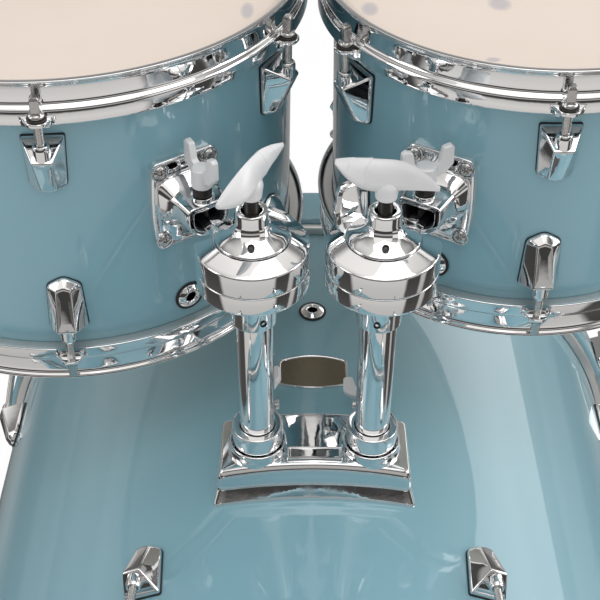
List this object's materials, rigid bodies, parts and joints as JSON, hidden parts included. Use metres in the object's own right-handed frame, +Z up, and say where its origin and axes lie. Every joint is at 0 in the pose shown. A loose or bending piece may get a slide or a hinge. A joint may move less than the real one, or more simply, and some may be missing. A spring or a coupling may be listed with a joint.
{
  "type": "drum kit",
  "caption": "Bass drum lying on its hoops and spurs, with a double tom holder on top that carries two rack toms on ball clamps.",
  "frame": {"origin": "on the floor, at the middle of the flat where the bass drum's batter hoop rests", "axes": "+X to the right seen from the audience, +Y from the audience towards the player, +Z up"},
  "size_m": [0.7862, 0.5444, 0.8512],
  "materials": {
    "wrap": "gloss pale blue lacquer",
    "film": "coated cream film",
    "chrome": "polished",
    "cast": "satin silver grey",
    "resin": "satin black",
    "rubber": "matt black",
    "bronze": "dull bronze"
  },
  "bodies": {
    "bass_drum": {"bass_badge": "bronze", "bass_batter_head": "film", "bass_batter_hoop": "wrap", "bass_front_head": "film", "bass_front_hoop": "wrap", "bass_shell": "wrap", "bass_vent": "chrome", "holder_base": "chrome", "left_spur_bracket": "chrome", "right_spur_bracket": "chrome"},
    "left_memory_clamp": {"left_memory_clamp": "chrome"},
    "left_pipe": {"left_pipe": "chrome", "left_clamp_cup": "chrome", "left_clamp_ring": "chrome", "left_clamp_cap": "chrome"},
    "left_ball": {"left_ball": "resin"},
    "left_hex_rod": {"left_hex_rod": "chrome"},
    "left_handle": {"left_handle": "cast"},
    "left_pipe_bolt": {"left_pipe_bolt": "cast"},
    "low_tom": {"low_tom_batter_head": "film", "low_tom_batter_hoop": "chrome", "low_tom_bottom_head": "film", "low_tom_bottom_hoop": "chrome", "low_tom_bracket": "chrome", "low_tom_lower_left_screw": "chrome", "low_tom_lower_right_screw": "chrome", "low_tom_shell": "wrap", "low_tom_upper_left_screw": "chrome", "low_tom_upper_right_screw": "chrome", "low_tom_vent": "chrome"},
    "low_tom_bracket_bolt": {"low_tom_bracket_bolt": "cast"},
    "left_spur_leg": {"left_spur_leg": "chrome"},
    "left_spur_foot": {"left_spur_foot": "rubber"},
    "left_spur_bolt": {"left_spur_bolt": "cast"},
    "right_memory_clamp": {"right_memory_clamp": "chrome"},
    "right_pipe": {"right_pipe": "chrome", "right_clamp_cup": "chrome", "right_clamp_ring": "chrome", "right_clamp_cap": "chrome"},
    "right_ball": {"right_ball": "resin"},
    "right_hex_rod": {"right_hex_rod": "chrome"},
    "right_handle": {"right_handle": "cast"},
    "right_pipe_bolt": {"right_pipe_bolt": "cast"},
    "high_tom": {"high_tom_batter_head": "film", "high_tom_batter_hoop": "chrome", "high_tom_bottom_head": "film", "high_tom_bottom_hoop": "chrome", "high_tom_bracket": "chrome", "high_tom_lower_left_screw": "chrome", "high_tom_lower_right_screw": "chrome", "high_tom_shell": "wrap", "high_tom_upper_left_screw": "chrome", "high_tom_upper_right_screw": "chrome", "high_tom_vent": "chrome"},
    "high_tom_bracket_bolt": {"high_tom_bracket_bolt": "cast"},
    "right_spur_leg": {"right_spur_leg": "chrome"},
    "right_spur_foot": {"right_spur_foot": "rubber"},
    "right_spur_bolt": {"right_spur_bolt": "cast"}
  },
  "joints": [
    {"name": "left_pipe_lift", "type": "slide", "parent": "bass_drum", "child": "left_memory_clamp", "axis": [0, 0, 1], "range_m": [0, 0.05]},
    {"name": "left_pipe_swivel", "type": "hinge", "parent": "left_memory_clamp", "child": "left_pipe", "pos_m": [-0.03685, -0.28105, 0.56928], "axis": [0, 0, 1], "range_deg": [0, 30]},
    {"name": "low_tom_tilt", "type": "hinge", "parent": "left_pipe", "child": "left_ball", "pos_m": [-0.03685, -0.28105, 0.74648], "axis": [-0.8151, -0.5792, 0.0114], "range_deg": [-4, 9]},
    {"name": "low_tom_roll", "type": "hinge", "parent": "left_ball", "child": "left_hex_rod", "pos_m": [-0.03685, -0.28105, 0.74648], "axis": [0.5792, -0.8152, -0.0081], "range_deg": [-0.5, 3]},
    {"name": "low_tom_reach", "type": "slide", "parent": "left_hex_rod", "child": "low_tom", "axis": [-0.5792, 0.8152, 0.0081], "range_m": [0, 0.012]},
    {"name": "low_tom_bracket_bolt_turn", "type": "hinge", "parent": "low_tom", "child": "low_tom_bracket_bolt", "pos_m": [-0.0677, -0.23752, 0.75246], "axis": [0.014, 0, 0.9999], "range_deg": [0, 360]},
    {"name": "left_handle_turn", "type": "hinge", "parent": "left_pipe", "child": "left_handle", "pos_m": [-0.03685, -0.28105, 0.76228], "axis": [0, 0, 1], "range_deg": [0, 360]},
    {"name": "left_pipe_bolt_turn", "type": "hinge", "parent": "bass_drum", "child": "left_pipe_bolt", "pos_m": [-0.03685, -0.26965, 0.58728], "axis": [0, 1, 0], "range_deg": [0, 360]},
    {"name": "left_spur_fold", "type": "hinge", "parent": "bass_drum", "child": "left_spur_leg", "pos_m": [-0.24023, -0.33395, 0.10614], "axis": [0.6088, 0, -0.7934], "range_deg": [0, 107]},
    {"name": "left_foot_screw", "type": "slide", "parent": "left_spur_leg", "child": "left_spur_foot", "axis": [0.7356, 0.3746, 0.5644], "range_m": [0, 0.006]},
    {"name": "left_spur_bolt_turn", "type": "hinge", "parent": "bass_drum", "child": "left_spur_bolt", "pos_m": [-0.24023, -0.33395, 0.10614], "axis": [0.6088, 0, -0.7934], "range_deg": [0, 360]},
    {"name": "right_pipe_lift", "type": "slide", "parent": "bass_drum", "child": "right_memory_clamp", "axis": [0, 0, 1], "range_m": [0, 0.05]},
    {"name": "right_pipe_swivel", "type": "hinge", "parent": "right_memory_clamp", "child": "right_pipe", "pos_m": [0.03685, -0.28105, 0.56928], "axis": [0, 0, -1], "range_deg": [0, 30]},
    {"name": "high_tom_tilt", "type": "hinge", "parent": "right_pipe", "child": "right_ball", "pos_m": [0.03685, -0.28105, 0.74648], "axis": [-0.8625, 0.506, -0.012], "range_deg": [-4, 9]},
    {"name": "high_tom_roll", "type": "hinge", "parent": "right_ball", "child": "right_hex_rod", "pos_m": [0.03685, -0.28105, 0.74648], "axis": [0.5059, 0.8625, 0.0071], "range_deg": [-0.5, 3]},
    {"name": "high_tom_reach", "type": "slide", "parent": "right_hex_rod", "child": "high_tom", "axis": [0.5059, 0.8625, 0.0071], "range_m": [0, 0.012]},
    {"name": "high_tom_bracket_bolt_turn", "type": "hinge", "parent": "high_tom", "child": "high_tom_bracket_bolt", "pos_m": [0.06379, -0.23499, 0.7524], "axis": [-0.014, 0, 0.9999], "range_deg": [0, 360]},
    {"name": "right_handle_turn", "type": "hinge", "parent": "right_pipe", "child": "right_handle", "pos_m": [0.03685, -0.28105, 0.76228], "axis": [0, 0, 1], "range_deg": [0, 360]},
    {"name": "right_pipe_bolt_turn", "type": "hinge", "parent": "bass_drum", "child": "right_pipe_bolt", "pos_m": [0.03685, -0.26965, 0.58728], "axis": [0, 1, 0], "range_deg": [0, 360]},
    {"name": "right_spur_fold", "type": "hinge", "parent": "bass_drum", "child": "right_spur_leg", "pos_m": [0.24023, -0.33395, 0.10614], "axis": [0.6088, 0, 0.7934], "range_deg": [0, 107]},
    {"name": "right_foot_screw", "type": "slide", "parent": "right_spur_leg", "child": "right_spur_foot", "axis": [-0.7356, 0.3746, 0.5644], "range_m": [0, 0.006]},
    {"name": "right_spur_bolt_turn", "type": "hinge", "parent": "bass_drum", "child": "right_spur_bolt", "pos_m": [0.24023, -0.33395, 0.10614], "axis": [0.6088, 0, 0.7934], "range_deg": [0, 360]}
  ]
}
